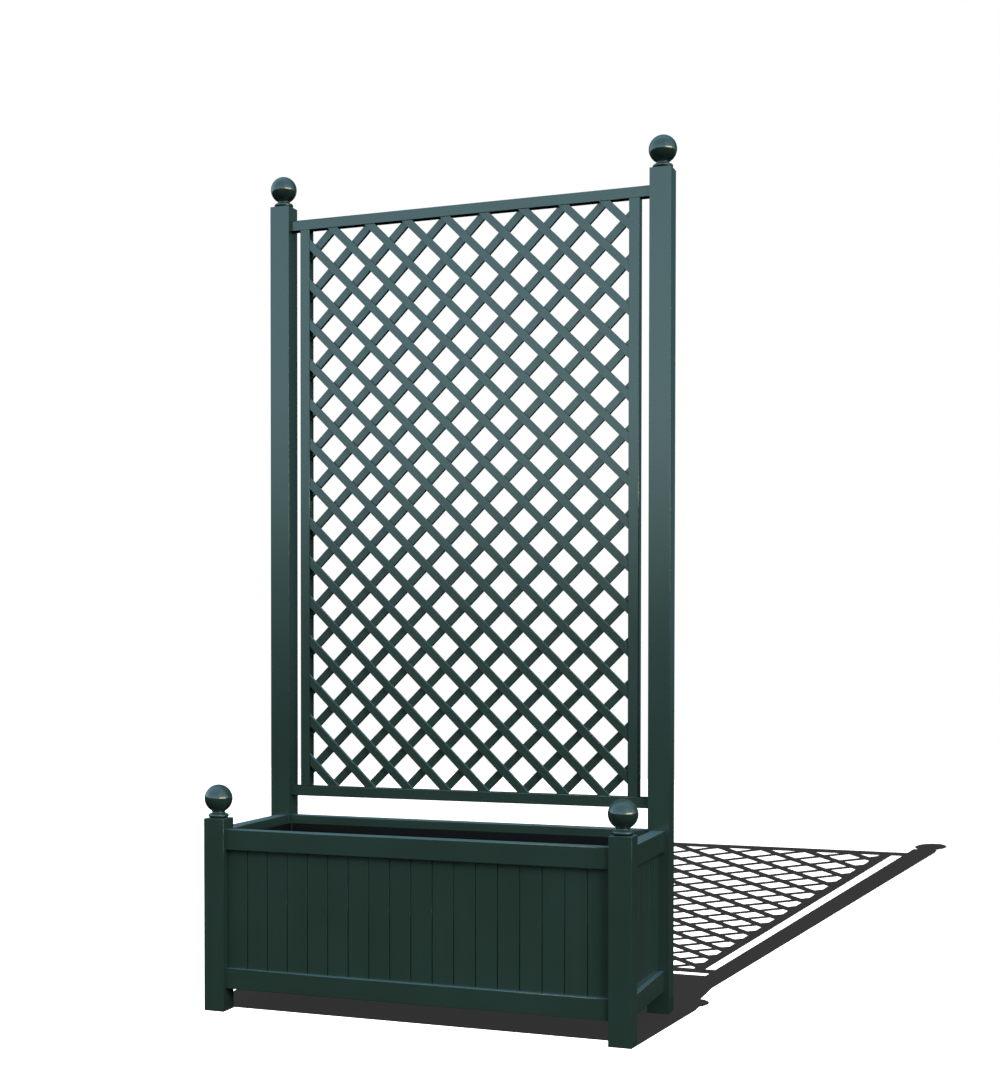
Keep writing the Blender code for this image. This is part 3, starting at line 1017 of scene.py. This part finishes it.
@dataclass(frozen=True)
class Trellis:
    """The frame between the rear posts and the two layers of laths in it.

    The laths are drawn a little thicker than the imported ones, so that their dark sides show.
    Their pitch is measured along the rails, and the lift is how much higher than the opening's
    middle they stand. The lip is the edge between a bar's front face and its groove.
    """

    frame_side: float = 0.025
    frame_radius: float = 0.002
    lip_radius: float = 0.0016
    groove_radius: float = 0.0002
    groove_depth: float = 0.005
    set_back: float = 0.002
    lath_width: float = 0.0185
    lath_thickness: float = 0.010
    lath_radius: float = 0.0003
    pitch: float = 0.0973
    lift: float = 0.0025
    end_gap: float = 0.0005
    steps: int = 4

    def bar(self, axis: Axis, near: float, far: float, front: float, run: Span) -> Shell:
        """A bar of the frame, with a groove in the edge that faces the laths.

        Args:
            axis: The way that it runs, X or Z.
            near: Where its edge towards the laths lies.
            far: Where its outer edge lies.
            front: Where its front face lies.
            run: Where it starts and ends.

        Returns:
            The shell.
        """
        first = front + self.set_back - GAP
        second = front + self.set_back + 2 * self.lath_thickness + GAP
        deep = near + math.copysign(self.groove_depth, far - near)
        corners = grooved((front, front + self.frame_side), (far, near), (first, second), deep)
        front_edge, rear_edge = [self.frame_radius, self.lip_radius], [self.frame_radius] * 2
        radius = np.array(front_edge + [self.groove_radius] * 4 + rear_edge)
        outline, flat = softened(corners, radius, self.steps)
        if axis is Axis.Z:
            outline = outline[:, ::-1]
        return prism(outline, flat, axis, *run)

    def laths(self, slope: Slope, front: float, low: np.ndarray, high: np.ndarray) -> list[Shell]:
        """One layer of laths at 45 degrees.

        A point of a lath is its middle line's point, plus t along (1, slope) / sqrt 2 and w along
        (-slope, 1) / sqrt 2. Both ends stop where that line meets the opening's walls.

        Args:
            slope: The way that the layer runs.
            front: Where its front face lies.
            low: Lowest corner of the opening, across and up.
            high: Its highest corner.

        Returns:
            One shell for each lath.
        """
        half, deep = self.lath_width / 2, self.lath_thickness
        corners = np.array([(-half, 0.0), (half, 0.0), (half, deep), (-half, deep)])
        outline, flat = softened(corners, np.full(4, self.lath_radius), self.steps)
        section = np.broadcast_to(outline, (2, len(outline), 2))
        middle = (low + high) / 2 + (0.0, self.lift)
        count = math.ceil(float((high - low).sum()) / 2 / self.pitch)
        along = np.array([1.0, slope.value]) / math.sqrt(2)
        across = np.array([-slope.value, 1.0]) / math.sqrt(2)
        shells = []
        for i in range(-count, count):
            offset = (i + 0.5) * self.pitch / math.sqrt(2)
            base = middle + (outline[:, :1] + offset) * across
            to_low, to_high = (low - base) / along, (high - base) / along
            start = np.minimum(to_low, to_high).max(axis=1)
            end = np.maximum(to_low, to_high).min(axis=1)
            if (end - start).min() < self.lath_width:
                continue
            reached = np.stack([base + start[:, None] * along, base + end[:, None] * along])
            points = np.insert(reached, 1, front + section[..., 1], axis=2).reshape(-1, 3)
            grain = np.dstack([np.stack([start, end]), section]).reshape(-1, 3)
            shells.append(tube(points, 2, flat, grain))
        return shells

    def build(self, workshop: Workshop) -> None:
        """Makes the rails, the stiles and the laths.

        Args:
            workshop: Where they are made.
        """
        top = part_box("trellis_rail_top")[0].z
        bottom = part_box("trellis_rail_bottom")[1].z
        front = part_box("trellis_rail_top")[0].y
        for level, near, sign in (("top", top, 1), ("bottom", bottom, -1)):
            far = near + sign * self.frame_side
            shell = self.bar(Axis.X, near, far, front, between_posts(Axis.X))
            name, node = f"{level}_trellis_rail", f"trellis_rail_{level}"
            workshop.piece(name, [shell], Slot.TRELLIS, [node])
        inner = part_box("trellis_stile_right")[0].x
        for side, sign in (("left", -1), ("right", 1)):
            near, far = sign * inner, sign * (inner + self.frame_side)
            shell = self.bar(Axis.Z, near, far, front, (bottom + GAP, top - GAP))
            name, node = f"{side}_trellis_stile", f"trellis_stile_{side}"
            workshop.piece(name, [shell], Slot.TRELLIS, [node])
        deep = self.groove_depth - self.end_gap
        low = np.array([-inner - deep, bottom - deep])
        high = np.array([inner + deep, top + deep])
        face = front + self.set_back
        for name, slope, depth in (
            ("front_laths", Slope.FALLS_RIGHT, face),
            ("rear_laths", Slope.RISES_RIGHT, face + self.lath_thickness),
        ):
            workshop.piece(name, self.laths(slope, depth, low, high), Slot.LATH, ["lattice"])


@dataclass(frozen=True)
class Liner:
    """The trough inside the box: tapered walls, a thick rim and round corners.

    The rings of its floor reach in from the rim by floor_reach, and a flat face closes the rest.
    """

    wall: float = 0.003
    corner: float = 0.012
    least_corner: float = 0.002
    rim_width: float = 0.0025
    rim_height: float = 0.008
    rim_round: float = 0.0011
    under_rim: float = 0.0006
    taper: float = 0.003
    foot_round: float = 0.006
    floor_reach: float = 0.060
    edge_steps: int = 4
    steps: int = 8

    def path(self, height: float) -> np.ndarray:
        """The section's path: up the outside, over the rim and down the inside.

        Args:
            height: The liner's height.

        Returns:
            How far in from the rim's outer face and how high each point lies, (n, 2).
        """
        rim = height - self.rim_height
        foot = self.rim_width + self.taper
        corners = np.array(
            [
                (self.floor_reach, 0.0),
                (foot, 0.0),
                (self.rim_width, rim),
                (0.0, rim),
                (0.0, height),
                (self.rim_width + self.wall, height),
                (foot + self.wall, self.wall),
                (self.floor_reach, self.wall),
            ]
        )
        outside = [0.0, self.foot_round, self.under_rim]
        radius = np.array(outside + [self.rim_round] * 3 + [self.foot_round, 0.0])
        path, _ = softened(corners, radius, self.edge_steps)
        apart = np.linalg.norm(path - np.roll(path, 1, axis=0), axis=1)
        return path[apart > TINY]

    def build(self, workshop: Workshop) -> None:
        """Makes the trough from rings of one rounded rectangle, one at each point of the path.

        The point gives a ring's height and how far it stands in from the rim's outer face, and
        the radius of its corners shrinks by as much.

        Args:
            workshop: Where it is made.
        """
        low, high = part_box("liner")
        middle, half = (low + high) / 2, (high - low) / 2
        path = self.path(high.z - low.z)
        inset, up = path[:, 0:1], path[:, 1:2]
        u, sign = corner_turns(self.steps)
        corner = np.maximum(self.corner - inset, self.least_corner)
        x = middle.x + sign[:, 0] * (half.x - inset - corner) + corner * np.cos(u)
        y = middle.y + sign[:, 1] * (half.y - inset - corner) + corner * np.sin(u)
        z = np.broadcast_to(low.z + up, x.shape)
        points = np.stack([x, y, z], axis=-1).reshape(-1, 3)
        rings, around = x.shape
        shell = tube(points, rings, np.zeros((rings - 1) * around, bool), points.copy())
        workshop.piece("plastic_liner", [shell], Slot.LINER, ["liner"], Body.LINER)


# Studio


@dataclass(frozen=True)
class Studio:
    """Camera, floor, sky and lamp.

    The camera's yaw and pitch are in radians, the headings and the key light's height in degrees.
    A heading is counted from straight in front of the object to its right. A horizon, edge or
    turn is where a smooth step between two lights starts and ends, measured by the part of a
    direction that points up, to the rear or to the light in question.
    """

    camera_place: Place = (1.3439, -3.6211, 0.8504)
    yaw: float = 0.3785
    pitch: float = -0.0192
    lens: float = 56.157
    sensor: float = 36.0
    sight: float = 200.0
    shift: Span = (0.0923, 0.1205)
    floor_half: float = 6.5
    floor_drop: float = 0.0001
    backdrop: Colour = (1.0, 1.0, 1.0)
    soft_level: float = 0.85
    soft_top: float = 1.0
    soft_top_power: float = 3.0
    soft_sides: float = 0.45
    soft_edge: Span = (-0.01, 0.01)
    key_light: float = 13.5
    key_heading: float = 49.3
    key_height: float = 33.4
    key_turn: Span = (0.96, 0.999)
    ground: Colour = (0.02, 0.02, 0.02)
    horizon: Span = (0.042, 0.095)
    zenith: Colour = (0.80, 1.50, 2.20)
    haze: Colour = (2.22, 3.52, 3.90)
    haze_power: float = 2.0
    band: Colour = (4.10, 5.50, 5.30)
    band_power: float = 9.0
    band_turn: Span = (0.0, 0.35)
    behind: Colour = (0.085, 0.18, 0.21)
    behind_edge: Span = (-0.10, 0.03)
    front_turn: Span = (0.80, -0.05)
    glow: Colour = (25.0, 23.5, 16.5)
    glow_heading: float = 62.0
    glow_height: float = 0.12
    glow_turn: Span = (0.83, 0.96)
    glow_edge: Span = (0.075, 0.035)
    lamp_place: Place = (0.091, -3.750, 4.200)
    lamp_power: float = 25700.0
    lamp_radius: float = 0.004

    def camera(self) -> None:
        """Puts up the camera at the photograph's place."""
        data = bpy.data.cameras.new("camera")
        data.lens = self.lens
        data.sensor_width = self.sensor
        data.shift_x, data.shift_y = self.shift
        data.clip_end = self.sight
        made = bpy.data.objects.new("camera", data)
        made.location = self.camera_place
        made.rotation_euler = (math.pi / 2 + self.pitch, 0.0, self.yaw)
        bpy.context.scene.collection.objects.link(made)
        bpy.context.scene.camera = made

    def floor(self) -> bpy.types.Object:
        """Lays the floor.

        Returns:
            The floor.
        """
        mesh = bpy.data.meshes.new("studio_floor")
        edge, z = self.floor_half, -self.floor_drop
        corners = [(-edge, -edge, z), (edge, -edge, z), (edge, edge, z), (-edge, edge, z)]
        mesh.from_pydata(corners, [], [(0, 1, 2, 3)])
        mesh.materials.append(GroundFinish().material("studio_floor"))
        made = bpy.data.objects.new("studio_floor", mesh)
        bpy.context.scene.collection.objects.link(made)
        return made

    def mirrored_sky(self, graph: Graph, direction: Socket) -> Socket:
        """The sky that gloss mirrors, above a dark ground.

        With z the upward part of a direction, the zenith's colour turns into the haze's by
        (1 - z) ** haze_power, and the haze into the band's by (1 - z) ** band_power towards the
        glow, which stands in it like a window. Behind the object the sky is dim.

        Args:
            graph: The world's graph.
            direction: The direction that is looked in.

        Returns:
            The light from there.
        """
        _, back, up = graph.parts(direction)
        heading = math.radians(self.glow_heading)
        towards = graph.dot(direction, (math.sin(heading), -math.cos(heading), 0.0))
        haze = graph.mix((1.0 - up) ** self.haze_power, self.zenith, self.haze)
        band = (1.0 - up) ** self.band_power * graph.ramp(towards, *self.band_turn)
        low_sky = graph.mix(band, haze, self.band)
        level = graph.ramp(abs(up - self.glow_height), *self.glow_edge)
        window = graph.ramp(towards, *self.glow_turn) * level
        sky = graph.mix(window, low_sky, self.glow)
        front = graph.mix(graph.ramp(up, *self.horizon), self.ground, sky)
        rear = graph.mix(graph.ramp(up, *self.behind_edge), self.ground, self.behind)
        return graph.mix(graph.ramp(back, *self.front_turn), rear, front)

    def plain_light(self, graph: Graph, direction: Socket) -> Socket:
        """The light that falls on dull surfaces, from above a dark ground.

        It is even, with the upward part's power more from the top, the sideways part's square
        more from the sides, and a broad key light from the right front.

        Args:
            graph: The world's graph.
            direction: The direction that it comes from.

        Returns:
            The light from there.
        """
        across, _, up = graph.parts(direction)
        heading, height = math.radians(self.key_heading), math.radians(self.key_height)
        level = math.cos(height)
        to_key = (math.sin(heading) * level, -math.cos(heading) * level, math.sin(height))
        key = graph.ramp(graph.dot(direction, to_key), *self.key_turn) * self.key_light
        top = up**self.soft_top_power * self.soft_top
        soft = self.soft_level + top + across * across * self.soft_sides + key
        return graph.mix(graph.ramp(up, *self.soft_edge), self.ground, soft)

    def sky(self) -> None:
        """Lights the studio: the backdrop to the camera, one sky to gloss and a plain one else."""
        world = bpy.data.worlds.new("studio_sky")
        bpy.context.scene.world = world
        world.use_nodes = True
        graph = Graph(world.node_tree)
        direction = graph.node("ShaderNodeTexCoord", output="Generated")
        glossy = graph.node("ShaderNodeLightPath", output="Is Glossy Ray")
        by_camera = graph.node("ShaderNodeLightPath", output="Is Camera Ray")
        plain = self.plain_light(graph, direction)
        light = graph.mix(glossy, plain, self.mirrored_sky(graph, direction))
        seen = graph.mix(by_camera, light, self.backdrop)
        background = graph.node("ShaderNodeBackground", None, {"Color": seen, "Strength": 1.0})
        graph.node("ShaderNodeOutputWorld", None, {"Surface": background})

    def lamp(self, floor: bpy.types.Object) -> None:
        """Hangs the lamp that lights the floor and casts the shadow there. It lights nothing else.

        Args:
            floor: The floor.
        """
        bulb = bpy.data.lights.new("shadow_lamp", "POINT")
        bulb.energy = self.lamp_power
        bulb.shadow_soft_size = self.lamp_radius
        bulb.use_nodes = True
        graph = Graph(bulb.node_tree)
        even = graph.node("ShaderNodeLightFalloff", None, {"Strength": 1.0}, output="Constant")
        shine = graph.node("ShaderNodeEmission", None, {"Strength": even})
        graph.node("ShaderNodeOutputLight", None, {"Surface": shine})
        hung = bpy.data.objects.new("shadow_lamp", bulb)
        hung.location = self.lamp_place
        bpy.context.scene.collection.objects.link(hung)
        lit = bpy.data.collections.new("lit_by_shadow_lamp")
        lit.objects.link(floor)
        hung.light_linking.receiver_collection = lit

    def build(self) -> None:
        """Sets up the studio."""
        bpy.context.scene.view_settings.view_transform = "Standard"
        self.camera()
        self.sky()
        self.lamp(self.floor())


def main() -> None:
    """Builds the pieces in the order that a joiner would, then the studio."""
    logging.basicConfig(level=logging.INFO, format="%(message)s")
    workshop = Workshop()
    for assembly in (Posts(), BoxRails(), Boards(), BoxFloor(), Trellis(), Finials(), Liner()):
        assembly.build(workshop)
    LOG.info("%d pieces", workshop.made)
    Studio().build()


if __name__ == "__main__":
    main()
